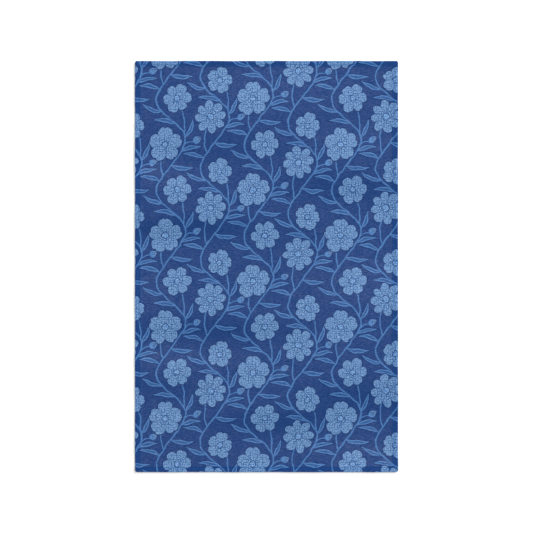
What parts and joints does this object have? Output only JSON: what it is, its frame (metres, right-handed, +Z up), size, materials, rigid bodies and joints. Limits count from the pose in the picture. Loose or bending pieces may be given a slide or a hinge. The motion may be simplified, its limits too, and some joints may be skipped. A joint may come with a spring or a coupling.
{
  "type": "tea towel",
  "caption": "Flat rectangular tea towel of thin printed cloth with a narrow double-turned hem on all sides, lying face up.",
  "frame": {"origin": "middle of the underside, on the surface that the towel lies on", "axes": "+X across the width, +Y along the length towards the top of the print, +Z up out of the printed face"},
  "size_m": [0.4064, 0.635, 0.0023],
  "materials": {
    "printed_cloth": "matte plain-woven cloth with fine crosswise slubs, printed on one face in light blue blooms on deep blue, pale and unprinted on the reverse"
  },
  "bodies": {
    "root": {"cloth": "printed_cloth"}
  },
  "joints": []
}
